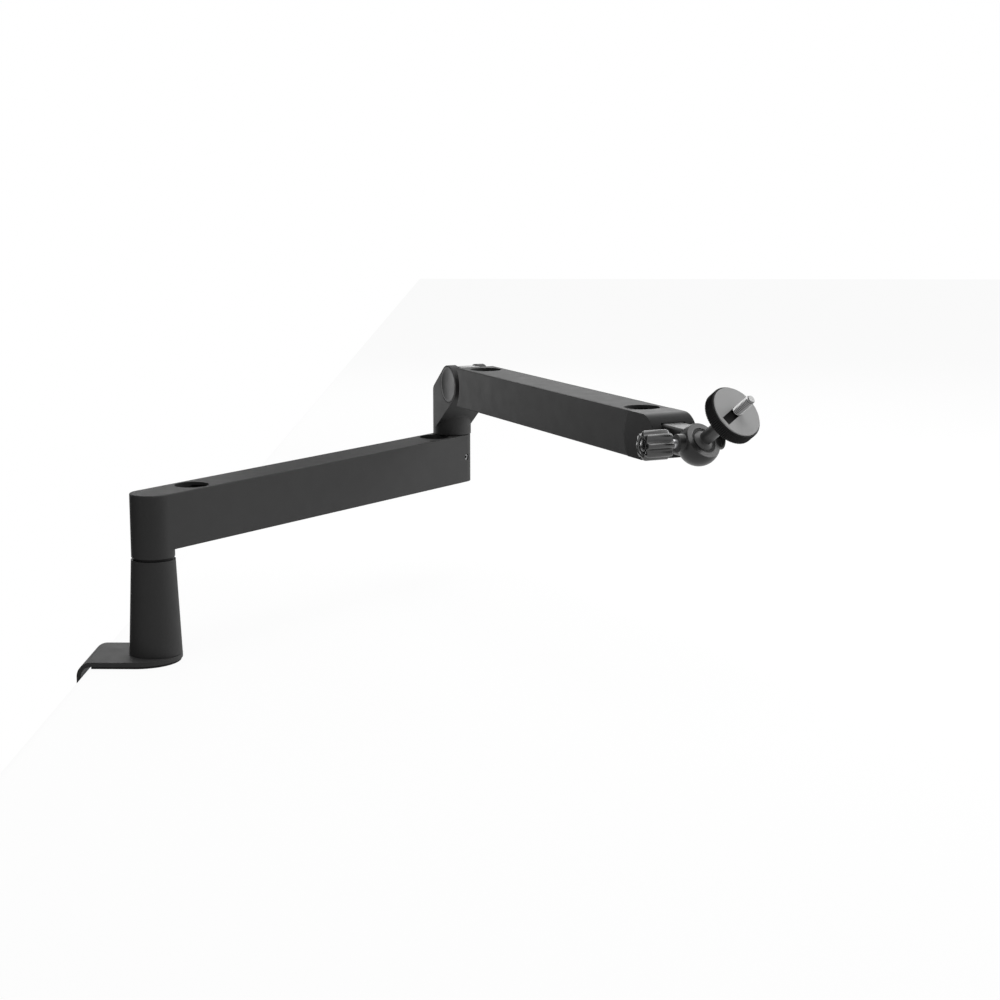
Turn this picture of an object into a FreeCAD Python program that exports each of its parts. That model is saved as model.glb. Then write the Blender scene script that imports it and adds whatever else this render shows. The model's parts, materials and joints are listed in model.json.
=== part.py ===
"""Low-profile microphone boom arm for a desk edge, as separate named pieces.

Frame: origin on the post axis at the desk surface, +Z up, +X along the lower arm. Millimetres.
"""
import FreeCAD, Part
import math
import os
import Sketcher
from types import SimpleNamespace
from FreeCAD import Placement, Rotation, Vector

# Driving sizes, in millimetres and degrees
SIZES = {
    # how the arm stands in its rest pose
    "clamp_turn": -56.0,
    "elbow_turn": -120.0,
    "stem_rise": 37.2,
    "stem_yaw": 15.3,
    "disc_turn": -67.3,
    # desk clamp
    "pad_thickness": 1.7,
    "plate_thickness": 3.0,
    "plate_width": 56.5,
    "plate_back": 49.5,
    "plate_front": 18.2,
    "plate_bend": 10.0,
    "pad_inset": 1.0,
    "jaw_height": 86.0,
    "desk_gap": 25.0,
    "clamp_thread_radius": 5.0,
    "clamp_screw_length": 98.0,
    "clamp_nut_radius": 9.0,
    "clamp_nut_height": 12.0,
    "foot_radius": 17.0,
    "foot_thickness": 4.0,
    "foot_pad_thickness": 2.0,
    "foot_boss_radius": 8.0,
    "foot_boss_height": 7.0,
    "handle_radius": 17.0,
    "handle_height": 20.0,
    "handle_flute_radius": 6.0,
    # post and its swivel
    "post_height": 66.6,
    "post_foot_radius": 18.3,
    "post_rim_radius": 15.3,
    "post_screw_radius": 2.4,
    "post_screw_head_radius": 4.6,
    "post_screw_circle": 11.0,
    "post_screw_reach": 14.0,
    "post_bore_floor": 26.0,
    "spindle_radius": 8.0,
    "bush_wall": 2.0,
    "swivel_gap": 2.0,
    "washer_thickness": 1.8,
    # lower arm
    "lower_reach": 347.4,
    "lower_width": 30.0,
    "lower_height": 38.8,
    "neck_height": 5.3,
    "spindle_seat": 22.0,
    "base_well_x": 39.6,
    "elbow_well_back": 24.6,
    "well_radius": 12.2,
    "channel_width": 18.0,
    "lower_channel_depth": 27.0,
    "cover_width": 27.2,
    "cover_thickness": 2.4,
    "cover_side_gap": 0.2,
    "edge_round": 0.8,
    "magnet_radius": 2.0,
    "magnet_depth": 2.0,
    "magnet_from_well": 20.0,
    # elbow swivel
    "elbow_pin_radius": 6.0,
    "elbow_bush_height": 30.0,
    "elbow_gap": 0.6,
    "elbow_washer_sink": 0.9,
    "elbow_washer_thickness": 1.4,
    "elbow_pin_seat": 11.0,
    "keeper_radius": 9.0,
    "keeper_thickness": 2.0,
    "keeper_recess_radius": 10.0,
    "elbow_screw_reach": 11.0,
    "set_screw_radius": 2.5,
    "set_screw_height": 20.4,
    "set_screw_sink": 1.0,
    # elbow knuckle and tilt hinge
    "arm_rise": 28.6,
    "hinge_x": 27.5,
    "cheek_slot": 17.8,
    "cheek_cap_radius": 14.6,
    "cheek_cap_depth": 1.2,
    "knuckle_back_height": 28.5,
    "knuckle_radius": 15.5,
    "fork_foot_x": -6.5,
    "knuckle_collar_height": 14.6,
    "knuckle_collar_thickness": 3.2,
    "knuckle_collar_radius": 17.4,
    "knuckle_collar_start": 2.0,
    "hinge_bolt_radius": 4.0,
    "hinge_head_radius": 6.6,
    "hinge_head_depth": 2.4,
    "hinge_bush_wall": 1.5,
    "hinge_washer_thickness": 0.6,
    "hinge_washer_radius": 10.0,
    "tongue_half_height": 14.5,
    "tenon_thickness": 6.2,
    "tenon_reach": 76.0,
    "tenon_screw_radius": 1.9,
    "tenon_screw_head_radius": 3.4,
    "tenon_screw_head_height": 1.6,
    "tenon_screw_back": 6.0,
    "tenon_screw_pitch": 12.0,
    # upper arm
    "upper_width": 32.6,
    "upper_height": 31.0,
    "end_radius": 24.3,
    "upper_well_x": 66.6,
    "head_well_back": 29.0,
    "upper_channel_depth": 21.0,
    "upper_cover_width": 29.4,
    # head
    "nose_x": 349.0,
    "nose_length": 18.0,
    "nose_roll": 17.8,
    "nose_foot": 1.0,
    "hood_height": 12.5,
    "socket_reach": 46.5,
    "socket_lift": 15.5,
    "socket_radius": 14.0,
    "ball_radius": 9.0,
    "seat_wall": 1.5,
    "socket_mouth": 5.6,
    "seat_mouth": 5.4,
    "socket_neck_width": 18.0,
    "socket_neck_height": 18.4,
    "socket_spigot_radius": 6.0,
    "socket_spigot_length": 13.5,
    "socket_boss_radius": 6.0,
    "socket_boss_reach": 16.5,
    "lock_screw_radius": 3.0,
    "lock_lift": 1.8,
    "lock_knob_radius": 9.7,
    "lock_knob_start": 22.4,
    "lock_knob_length": 19.2,
    "lock_knob_flute_radius": 2.4,
    "stem_radius": 4.5,
    "disc_radius": 18.9,
    "disc_thickness": 8.4,
    "disc_distance": 40.4,
    "disc_face_thickness": 0.8,
    "disc_face_inset": 1.3,
    "disc_slot_width": 6.0,
    "disc_slot_reach": 14.9,
    "disc_slot_depth": 1.0,
    "stud_radius": 3.175,
    "stud_length": 15.2,
    "stud_root": 18.0,
    "stud_neck_radius": 2.9,
    "stud_relief": 0.6,
    "stud_chamfer": 0.9,
    # clearances
    "fit": 0.03,
    "running_fit": 0.06,
    "end_gap": 0.2,
}


class Dim:
    """A length with its value and the expression that ties it to the sheet."""

    def __init__(self, value, text):
        self.value = value
        self.text = text

    @staticmethod
    def of(item):
        if isinstance(item, Dim):
            return item
        return Dim(float(item), f"{float(item):.6f}")

    def _join(self, other, sign, value):
        return Dim(value, f"({self.text} {sign} {other.text})")

    def __add__(self, other):
        other = Dim.of(other)
        return self._join(other, "+", self.value + other.value)

    def __radd__(self, other):
        return Dim.of(other) + self

    def __sub__(self, other):
        other = Dim.of(other)
        return self._join(other, "-", self.value - other.value)

    def __rsub__(self, other):
        return Dim.of(other) - self

    def __mul__(self, other):
        other = Dim.of(other)
        return self._join(other, "*", self.value * other.value)

    def __rmul__(self, other):
        return Dim.of(other) * self

    def __truediv__(self, other):
        other = Dim.of(other)
        return self._join(other, "/", self.value / other.value)

    def __neg__(self):
        return Dim(-self.value, f"(0 - {self.text})")


doc = FreeCAD.newDocument("boom_arm")
sheet = doc.addObject("Spreadsheet::Sheet", "Sizes")
for row, (alias, number) in enumerate(SIZES.items(), start=1):
    sheet.set(f"A{row}", alias)
    sheet.set(f"B{row}", str(number))
    sheet.setAlias(f"B{row}", alias)
doc.recompute()
d = SimpleNamespace(**{name: Dim(number, f"Sizes.{name}") for name, number in SIZES.items()})

nodes = []


def bind(obj, prop, dim):
    obj.setExpression(prop, Dim.of(dim).text)


def move(obj, x=0, y=0, z=0):
    for letter, dim in zip("xyz", (x, y, z)):
        bind(obj, f"Placement.Base.{letter}", dim)
    return obj


TURNS = {
    "Z": Rotation(),
    "X": Rotation(Vector(0, 1, 0), 90),
    "Y": Rotation(Vector(1, 0, 0), -90),
}


def cylinder(name, radius, low, high, axis="Z", at=(0, 0)):
    """Round bar along an axis from low to high; at gives the two other coordinates in order."""
    bar = doc.addObject("Part::Cylinder", name)
    bind(bar, "Radius", radius)
    bind(bar, "Height", high - low)
    bar.Placement = Placement(Vector(), TURNS[axis])
    first, second = at
    spots = {"Z": (first, second, low), "X": (low, first, second), "Y": (first, low, second)}
    return move(bar, *spots[axis])


def cone(name, radius_low, radius_high, low, high, at=(0, 0)):
    frustum = doc.addObject("Part::Cone", name)
    bind(frustum, "Radius1", radius_low)
    bind(frustum, "Radius2", radius_high)
    bind(frustum, "Height", high - low)
    return move(frustum, at[0], at[1], low)


def box(name, x, y, z):
    block = doc.addObject("Part::Box", name)
    bind(block, "Length", x[1] - x[0])
    bind(block, "Width", y[1] - y[0])
    bind(block, "Height", z[1] - z[0])
    return move(block, x[0], y[0], z[0])


def sphere(name, radius, x=0, y=0, z=0):
    ball = doc.addObject("Part::Sphere", name)
    bind(ball, "Radius", radius)
    return move(ball, x, y, z)


def fuse(name, *pieces):
    joined = doc.addObject("Part::MultiFuse", name)
    joined.Shapes = list(pieces)
    joined.Refine = True
    return joined


def common(name, *pieces):
    shared = doc.addObject("Part::MultiCommon", name)
    shared.Shapes = list(pieces)
    return shared


def cut(name, base, *tools):
    tool = tools[0] if len(tools) == 1 else fuse(f"{name}_tools", *tools)
    trimmed = doc.addObject("Part::Cut", name)
    trimmed.Base = base
    trimmed.Tool = tool
    return trimmed


def group(name, pieces):
    bundle = doc.addObject("Part::Compound", name)
    bundle.Links = list(pieces)
    return bundle


def tube(name, outer, inner, low, high, axis="Z", at=(0, 0)):
    wall = cylinder(f"{name}_wall", outer, low, high, axis, at)
    hole = cylinder(f"{name}_hole", inner, low - 1, high + 1, axis, at)
    return cut(name, wall, hole)


def edges_where(shape, test):
    return [f"Edge{i}" for i, edge in enumerate(shape.Edges, start=1) if test(edge)]


def rounded(name, base, radius, test):
    """Rounds the edges of a solid that pass the test."""
    doc.recompute()
    picked = [i for i, edge in enumerate(base.Shape.Edges, start=1) if test(edge)]
    soft = doc.addObject("Part::Fillet", name)
    soft.Base = base
    soft.Edges = [(i, radius.value, radius.value) for i in picked]
    return soft


def middle(edge):
    return edge.valueAt((edge.FirstParameter + edge.LastParameter) / 2)


class Piece:
    """A PartDesign body built from constrained sketches."""

    def __init__(self, label):
        self.body = doc.addObject("PartDesign::Body", label)
        self.label = label
        self.count = 0

    def name(self, kind):
        self.count += 1
        return f"{self.label}_{kind}{self.count}"

    def sketch(self, role="XY_Plane", level=0):
        drawing = self.body.newObject("Sketcher::SketchObject", self.name("sketch"))
        plane = [f for f in self.body.Origin.OriginFeatures if f.Role == role][0]
        drawing.AttachmentSupport = [(plane, "")]
        drawing.MapMode = "FlatFace"
        bind(drawing, "AttachmentOffset.Base.z", level)
        return drawing

    def feature(self, kind, drawing, length=None, **settings):
        step = self.body.newObject(f"PartDesign::{kind}", self.name(kind.lower()))
        step.Profile = drawing
        for key, value in settings.items():
            setattr(step, key, value)
        if length is not None:
            bind(step, "Length", length)
        drawing.Visibility = False
        return step

    def pad(self, drawing, length, **settings):
        return self.feature("Pad", drawing, length, **settings)

    def pocket(self, drawing, length, **settings):
        return self.feature("Pocket", drawing, length, **settings)

    def revolve(self, drawing):
        step = self.body.newObject("PartDesign::Revolution", self.name("turned"))
        step.Profile = drawing
        step.ReferenceAxis = (drawing, ["V_Axis"])
        step.Angle = 360.0
        return step

    def around(self, step, count):
        ring = self.body.newObject("PartDesign::PolarPattern", self.name("ring"))
        ring.Originals = [step]
        ring.Axis = (step.Profile[0], ["N_Axis"])
        ring.Angle = 360.0
        ring.Occurrences = count
        self.body.Tip = ring
        return ring

    def round(self, radius, test):
        doc.recompute()
        last = self.body.Tip
        step = self.body.newObject("PartDesign::Fillet", self.name("fillet"))
        step.Base = (last, edges_where(last.Shape, test))
        bind(step, "Radius", radius)
        return step


def hold(drawing, kind, geo, spot, dim):
    """Ties one coordinate of a sketch point to a size."""
    dim = Dim.of(dim)
    index = drawing.addConstraint(Sketcher.Constraint(kind, -1, 1, geo, spot, dim.value))
    label = f"{kind.lower()}_{index}"
    drawing.renameConstraint(index, label)
    drawing.setExpression(f"Constraints.{label}", dim.text)


def hold_radius(drawing, geo, dim):
    dim = Dim.of(dim)
    index = drawing.addConstraint(Sketcher.Constraint("Radius", geo, dim.value))
    drawing.renameConstraint(index, f"radius_{index}")
    drawing.setExpression(f"Constraints.radius_{index}", dim.text)


def polygon(drawing, points):
    points = [(Dim.of(x), Dim.of(y)) for x, y in points]
    flat = [Vector(x.value, y.value, 0) for x, y in points]
    lines = []
    for start, end in zip(flat, flat[1:] + flat[:1]):
        lines.append(drawing.addGeometry(Part.LineSegment(start, end), False))
    for line, following in zip(lines, lines[1:] + lines[:1]):
        drawing.addConstraint(Sketcher.Constraint("Coincident", line, 2, following, 1))
    for line, (x, y) in zip(lines, points):
        hold(drawing, "DistanceX", line, 1, x)
        hold(drawing, "DistanceY", line, 1, y)
    return drawing


def rectangle(drawing, x0, x1, y0, y1):
    return polygon(drawing, [(x0, y0), (x1, y0), (x1, y1), (x0, y1)])


def circle(drawing, x, y, radius):
    spot = Vector(Dim.of(x).value, Dim.of(y).value, 0)
    ring = Part.Circle(spot, Vector(0, 0, 1), Dim.of(radius).value)
    geo = drawing.addGeometry(ring, False)
    hold(drawing, "DistanceX", geo, 3, x)
    hold(drawing, "DistanceY", geo, 3, y)
    hold_radius(drawing, geo, radius)
    return drawing


def node(obj, label, frame):
    """Names a finished piece and sets it in its group's frame."""
    if obj.TypeId in ("Part::Cylinder", "Part::Box"):
        obj = group(f"{label}_piece", [obj])
    obj.Label = label
    obj.Placement = frame
    nodes.append(obj)
    return obj


# Group frames: each group is drawn in its own frame and then set in its rest pose
upright = Vector(0, 0, 1)
arm_frame = Placement()
clamp_frame = Placement(Vector(), Rotation(upright, d.clamp_turn.value))
elbow_frame = Placement(Vector(d.lower_reach.value, 0, 0), Rotation(upright, d.elbow_turn.value))

# Heights, from the desk up
plate_top = d.pad_thickness + d.plate_thickness
post_rim = plate_top + d.post_height
neck_bottom = post_rim + d.swivel_gap
lower_bottom = neck_bottom + d.neck_height
lower_top = lower_bottom + d.lower_height
knuckle_bottom = lower_top + d.elbow_gap
upper_bottom = lower_top + d.arm_rise
upper_top = upper_bottom + d.upper_height
hinge_z = upper_bottom + d.upper_height / 2
socket_x = d.nose_x + d.socket_reach
socket_z = upper_bottom + d.socket_lift
head_well_x = d.nose_x - d.head_well_back

stem_turn = Rotation(upright, d.stem_yaw.value) * Rotation(Vector(0, 1, 0), 90 - d.stem_rise.value)
ball_frame = elbow_frame * Placement(Vector(socket_x.value, 0, socket_z.value), Rotation())
stem_frame = elbow_frame * Placement(Vector(socket_x.value, 0, socket_z.value), stem_turn)
disc_frame = stem_frame * Placement(Vector(), Rotation(upright, d.disc_turn.value))

# Desk clamp
jaw_floor = -d.jaw_height
lip_bottom = jaw_floor - d.plate_thickness
half_plate = d.plate_width / 2
plate_round_x = d.plate_front - half_plate
screw_x = plate_round_x
bush_outer = d.spindle_radius + d.running_fit + d.bush_wall


def plate_outline(drawing, inset, back):
    """Plate seen from above: square at the back, half round towards the room."""
    half = half_plate - inset
    corners = [Vector(back.value, -half.value, 0), Vector(plate_round_x.value, -half.value, 0)]
    corners += [Vector(plate_round_x.value, half.value, 0), Vector(back.value, half.value, 0)]
    low = drawing.addGeometry(Part.LineSegment(corners[0], corners[1]), False)
    bow = Part.Circle(Vector(plate_round_x.value, 0, 0), upright, half.value)
    arc = drawing.addGeometry(Part.ArcOfCircle(bow, -math.pi / 2, math.pi / 2), False)
    high = drawing.addGeometry(Part.LineSegment(corners[2], corners[3]), False)
    end = drawing.addGeometry(Part.LineSegment(corners[3], corners[0]), False)
    drawing.addConstraint(Sketcher.Constraint("Tangent", low, 2, arc, 1))
    drawing.addConstraint(Sketcher.Constraint("Tangent", arc, 2, high, 1))
    drawing.addConstraint(Sketcher.Constraint("Coincident", high, 2, end, 1))
    drawing.addConstraint(Sketcher.Constraint("Coincident", end, 2, low, 1))
    drawing.addConstraint(Sketcher.Constraint("Horizontal", low))
    drawing.addConstraint(Sketcher.Constraint("Vertical", end))
    hold(drawing, "DistanceX", arc, 3, plate_round_x)
    hold(drawing, "DistanceY", arc, 3, 0)
    hold(drawing, "DistanceX", low, 1, back)
    hold_radius(drawing, arc, half)
    return drawing


bracket = Piece("bracket_blank")
blank = plate_outline(bracket.sketch(level=lip_bottom), Dim.of(0), -d.plate_back)
bracket.pad(blank, plate_top - lip_bottom)
jaw = bracket.sketch("XZ_Plane")
rectangle(jaw, d.plate_thickness - d.plate_back, d.plate_front * 2, jaw_floor, d.pad_thickness)
bracket.pocket(jaw, d.plate_width * 2, Midplane=True)
for depth, radius in ((Dim.of(0), d.plate_bend), (d.plate_thickness, d.plate_bend - d.plate_thickness)):
    bend_x = depth - d.plate_back
    bracket.round(radius, lambda edge: abs(middle(edge).x - bend_x.value) < 0.01
                  and abs(middle(edge).y) < 0.01)
screw_hole = circle(bracket.sketch(level=jaw_floor), screw_x, 0, d.clamp_nut_radius + d.fit)
bracket.pocket(screw_hole, d.plate_thickness + 1)
post_spots = []
for step in range(3):
    angle = math.radians(60 + 120 * step)
    post_spots.append((d.post_screw_circle * math.cos(angle), d.post_screw_circle * math.sin(angle)))
head_depth = d.post_screw_head_radius - d.post_screw_radius


def countersunk(name, spot, spare, below):
    """Countersunk screw standing upright from the underside of the plate."""
    low = Dim.of(d.pad_thickness)
    wide = d.post_screw_head_radius + spare
    thin = d.post_screw_radius + spare
    head = cone(f"{name}_head", wide, thin, low, low + head_depth, spot)
    shank = cylinder(f"{name}_shank", thin, low - below, plate_top + d.post_screw_reach, at=spot)
    return fuse(name, head, shank)


plate_holes = [countersunk(f"plate_hole{i}", s, d.fit, Dim.of(0)) for i, s in enumerate(post_spots)]
node(cut("clamp_plate", bracket.body, *plate_holes), "clamp_bracket", clamp_frame)

pad = Piece("top_pad")
pad.pad(plate_outline(pad.sketch(), d.pad_inset, d.plate_bend - d.plate_back), d.pad_thickness)
node(pad.body, "top_pad", clamp_frame)

screws = [countersunk(f"post_screw{i}", s, Dim.of(0), Dim.of(0)) for i, s in enumerate(post_spots)]
node(group("post_screw_group", screws), "post_screws", clamp_frame)

nut_bottom = lip_bottom - d.clamp_nut_height / 2
nut_top = nut_bottom + d.clamp_nut_height
nut_shape = tube("nut_core", d.clamp_nut_radius, d.clamp_thread_radius + d.running_fit,
                 nut_bottom, nut_top, at=(screw_x, 0))
nut_flange = tube("nut_flange", d.clamp_nut_radius + 3, d.clamp_nut_radius - 1,
                  nut_bottom, lip_bottom, at=(screw_x, 0))
node(fuse("clamp_nut", nut_shape, nut_flange), "clamp_nut", clamp_frame)

foot_pad_top = -d.desk_gap
foot_top = foot_pad_top - d.foot_pad_thickness
foot_bottom = foot_top - d.foot_thickness
boss_bottom = foot_bottom - d.foot_boss_height
screw_top = foot_bottom - 1
foot_plate = cylinder("foot_plate", d.foot_radius, foot_bottom, foot_top, at=(screw_x, 0))
foot_boss = cylinder("foot_boss", d.foot_boss_radius, boss_bottom, foot_bottom, at=(screw_x, 0))
foot_hole = cylinder("foot_hole", d.clamp_thread_radius + d.running_fit, boss_bottom - 1,
                     screw_top + d.end_gap, at=(screw_x, 0))
node(cut("pressure_foot", fuse("foot_body", foot_plate, foot_boss), foot_hole),
     "pressure_foot", clamp_frame)
node(cylinder("foot_pad_disc", d.foot_radius - d.pad_inset, foot_top, foot_pad_top, at=(screw_x, 0)),
     "foot_pad", clamp_frame)
screw_spot = clamp_frame * Placement(Vector(screw_x.value, 0, 0), Rotation())
screw_bottom = screw_top - d.clamp_screw_length
handle_top = screw_bottom + d.handle_height * 0.7
handle_bottom = handle_top - d.handle_height
node(cylinder("clamp_rod", d.clamp_thread_radius, screw_bottom, screw_top),
     "clamp_screw", screw_spot)


def fluted_knob(label, radius, low, height, flute_radius, count, bore, bore_from, bore_to):
    """Grip turned about Z with round flutes, a domed rim and a bore."""
    knob = Piece(label)
    knob.pad(circle(knob.sketch(level=low), 0, 0, radius), height)
    high = low + height
    knob.round(radius * 0.12, lambda edge: abs(middle(edge).z - low.value) < 0.01
               or abs(middle(edge).z - high.value) < 0.01)
    flute = circle(knob.sketch(level=low - 1), radius + flute_radius * 0.45, 0, flute_radius)
    groove = knob.pocket(flute, height + 2, Reversed=True)
    knob.around(groove, count)
    hole = circle(knob.sketch(level=bore_from), 0, 0, bore)
    knob.pocket(hole, bore_to - bore_from, Reversed=True)
    return knob


handle = fluted_knob("clamp_handle", d.handle_radius, handle_bottom, d.handle_height,
                     d.handle_flute_radius, 6, d.clamp_thread_radius + d.fit,
                     screw_bottom - d.end_gap, handle_top + 1)
node(handle.body, "clamp_handle", screw_spot)

# Post and its swivel
post = Piece("post_blank")
post_floor = plate_top + d.post_bore_floor
polygon(post.sketch("XZ_Plane"), [
    (0, plate_top), (d.post_foot_radius, plate_top), (d.post_rim_radius, post_rim),
    (bush_outer + d.fit, post_rim), (bush_outer + d.fit, post_floor), (0, post_floor)])
post.revolve(doc.getObject("post_blank_sketch1"))
thread_holes = [cylinder(f"post_hole{i}", d.post_screw_radius + d.fit, plate_top - 1,
                         plate_top + d.post_screw_reach + d.end_gap, at=s)
                for i, s in enumerate(post_spots)]
node(cut("base_post_drilled", post.body, *thread_holes), "base_post", clamp_frame)
node(tube("post_bush", bush_outer, d.spindle_radius + d.running_fit, post_floor, post_rim),
     "post_bush", clamp_frame)
node(tube("swivel_washer", d.post_rim_radius - 1.5, d.spindle_radius + d.running_fit, post_rim,
          post_rim + d.washer_thickness), "swivel_washer", clamp_frame)
node(cylinder("spindle_bar", d.spindle_radius, post_floor + 1, lower_bottom + d.spindle_seat),
     "base_spindle", arm_frame)

# Lower arm: a round-ended box with a cable channel under a lift-off cover
half_lower = d.lower_width / 2
elbow_well_x = d.lower_reach - d.elbow_well_back
ledge = lower_top - d.cover_thickness


def stadium(drawing, start, end, radius):
    start = Dim.of(start)
    caps = []
    for centre, first in ((start, math.pi / 2), (end, -math.pi / 2)):
        bow = Part.Circle(Vector(centre.value, 0, 0), upright, radius.value)
        caps.append(drawing.addGeometry(Part.ArcOfCircle(bow, first, first + math.pi), False))
    low = Part.LineSegment(Vector(start.value, -radius.value, 0), Vector(end.value, -radius.value, 0))
    high = Part.LineSegment(Vector(end.value, radius.value, 0), Vector(start.value, radius.value, 0))
    bottom = drawing.addGeometry(low, False)
    top = drawing.addGeometry(high, False)
    drawing.addConstraint(Sketcher.Constraint("Tangent", caps[0], 2, bottom, 1))
    drawing.addConstraint(Sketcher.Constraint("Tangent", bottom, 2, caps[1], 1))
    drawing.addConstraint(Sketcher.Constraint("Tangent", caps[1], 2, top, 1))
    drawing.addConstraint(Sketcher.Constraint("Tangent", top, 2, caps[0], 1))
    hold(drawing, "DistanceX", caps[0], 3, start)
    hold(drawing, "DistanceY", caps[0], 3, 0)
    hold(drawing, "DistanceX", caps[1], 3, end)
    hold_radius(drawing, caps[0], radius)
    drawing.addConstraint(Sketcher.Constraint("Horizontal", bottom))
    return drawing


def cable_way(piece, top, depth, first_well, last_well, cover_width):
    """Channel, two round wells and the seat of the cover, cut from the top face."""
    half = d.channel_width / 2
    piece.pocket(rectangle(piece.sketch(level=top), first_well, last_well, -half, half), depth)
    for well in (first_well, last_well):
        piece.pocket(circle(piece.sketch(level=top), well, 0, d.well_radius), depth)
    side = cover_width / 2 + d.cover_side_gap
    seat = rectangle(piece.sketch(level=top), first_well, last_well, -side, side)
    piece.pocket(seat, d.cover_thickness)


def magnet_spots(first_well, last_well, cover_width):
    side = (d.channel_width + cover_width) / 4
    ends = (first_well + d.magnet_from_well, last_well - d.magnet_from_well)
    return [(x, sign * side) for x in ends for sign in (-1, 1)]


def magnets(piece, name, top, spots):
    """Round pockets in the cover's ledges, and the discs that fill them."""
    discs = []
    for i, (x, y) in enumerate(spots):
        pocket = circle(piece.sketch(level=top), x, y, d.magnet_radius + d.fit)
        piece.pocket(pocket, d.magnet_depth)
        discs.append(cylinder(f"{name}{i}", d.magnet_radius, top - d.magnet_depth, top, at=(x, y)))
    return group(f"{name}_group", discs)


def cover(label, top, first_well, last_well, width):
    """Flat lid whose ends are cut round, so that a cable can drop in beside it."""
    lid = Piece(label)
    bottom = top - d.cover_thickness
    outline = rectangle(lid.sketch(level=bottom), first_well + d.end_gap, last_well - d.end_gap,
                        -width / 2, width / 2)
    lid.pad(outline, d.cover_thickness)
    for well in (first_well, last_well):
        lid.pocket(circle(lid.sketch(level=top), well, 0, d.well_radius), d.cover_thickness)
    return lid


lower = Piece("lower_arm")
lower.pad(stadium(lower.sketch(level=lower_bottom), 0, d.lower_reach, half_lower), d.lower_height)
lower.pad(circle(lower.sketch(level=neck_bottom), 0, 0, half_lower), d.neck_height)
lower.round(d.edge_round, lambda edge: abs(middle(edge).z - lower_top.value) < 0.01)
cable_way(lower, lower_top, d.lower_channel_depth, d.base_well_x, elbow_well_x, d.cover_width)
lower.pocket(circle(lower.sketch(level=neck_bottom), 0, 0, d.spindle_radius + d.fit),
             d.neck_height + d.spindle_seat + d.end_gap, Reversed=True)
elbow_bush_outer = d.elbow_pin_radius + d.running_fit + d.bush_wall
elbow_shoulder = lower_top - d.elbow_washer_sink - d.elbow_bush_height
lower.pocket(circle(lower.sketch(level=lower_top), d.lower_reach, 0, elbow_bush_outer + d.fit),
             d.lower_height)
lower.pocket(circle(lower.sketch(level=lower_bottom), d.lower_reach, 0, d.keeper_recess_radius),
             elbow_shoulder - lower_bottom, Reversed=True)
elbow_washer_radius = half_lower - 2.0
lower.pocket(circle(lower.sketch(level=lower_top), d.lower_reach, 0, elbow_washer_radius + d.end_gap),
             d.elbow_washer_sink)
set_screw_z = lower_bottom + d.set_screw_height
lower.pocket(circle(lower.sketch("XZ_Plane", level=half_lower + 1), d.lower_reach, set_screw_z,
                    d.set_screw_radius + d.fit), half_lower + 1)
lower_magnets = magnets(lower, "lower_magnet", ledge,
                        magnet_spots(d.base_well_x, elbow_well_x, d.cover_width))
node(lower.body, "lower_arm", arm_frame)
node(lower_magnets, "lower_magnets", arm_frame)
node(cover("lower_cover", lower_top, d.base_well_x, elbow_well_x, d.cover_width).body,
     "lower_cover", arm_frame)

# Elbow swivel
elbow_spot = Placement(Vector(d.lower_reach.value, 0, 0), Rotation())
bush_top = lower_top - d.elbow_washer_sink
node(tube("elbow_bush", elbow_bush_outer, d.elbow_pin_radius + d.running_fit, elbow_shoulder,
          bush_top), "elbow_bush", elbow_spot)
node(tube("elbow_washer", elbow_washer_radius, d.elbow_pin_radius + d.running_fit, bush_top,
          bush_top + d.elbow_washer_thickness), "elbow_washer", elbow_spot)
screw_tip = -(elbow_bush_outer + d.end_gap)
screw_tail = d.set_screw_sink - half_lower
grub = cylinder("grub", d.set_screw_radius, screw_tail, screw_tip, "Y", (0, set_screw_z))
grub_socket = cylinder("grub_socket", d.set_screw_radius / 2, screw_tail - 1, screw_tail + 2.5,
                       "Y", (0, set_screw_z))
node(cut("elbow_set_screw", grub, grub_socket), "elbow_set_screw", elbow_spot)
keeper_top = elbow_shoulder - d.end_gap
pin_bottom = keeper_top
node(cut("elbow_pin", cylinder("elbow_pin_bar", d.elbow_pin_radius, pin_bottom,
                               knuckle_bottom + d.elbow_pin_seat),
         cylinder("elbow_pin_hole", d.tenon_screw_radius + d.fit, pin_bottom - 1,
                  pin_bottom + d.elbow_screw_reach + d.end_gap)),
     "elbow_pin", elbow_frame)
keeper_bottom = keeper_top - d.keeper_thickness
node(tube("elbow_keeper", d.keeper_radius, d.tenon_screw_radius + d.fit, keeper_bottom, keeper_top),
     "elbow_keeper", elbow_frame)
keeper_head = cylinder("keeper_head", d.tenon_screw_head_radius,
                       keeper_bottom - d.tenon_screw_head_height, keeper_bottom)
keeper_shank = cylinder("keeper_shank", d.tenon_screw_radius, keeper_bottom,
                        pin_bottom + d.elbow_screw_reach)
node(fuse("elbow_screw", keeper_head, keeper_shank), "elbow_screw", elbow_frame)

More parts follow.
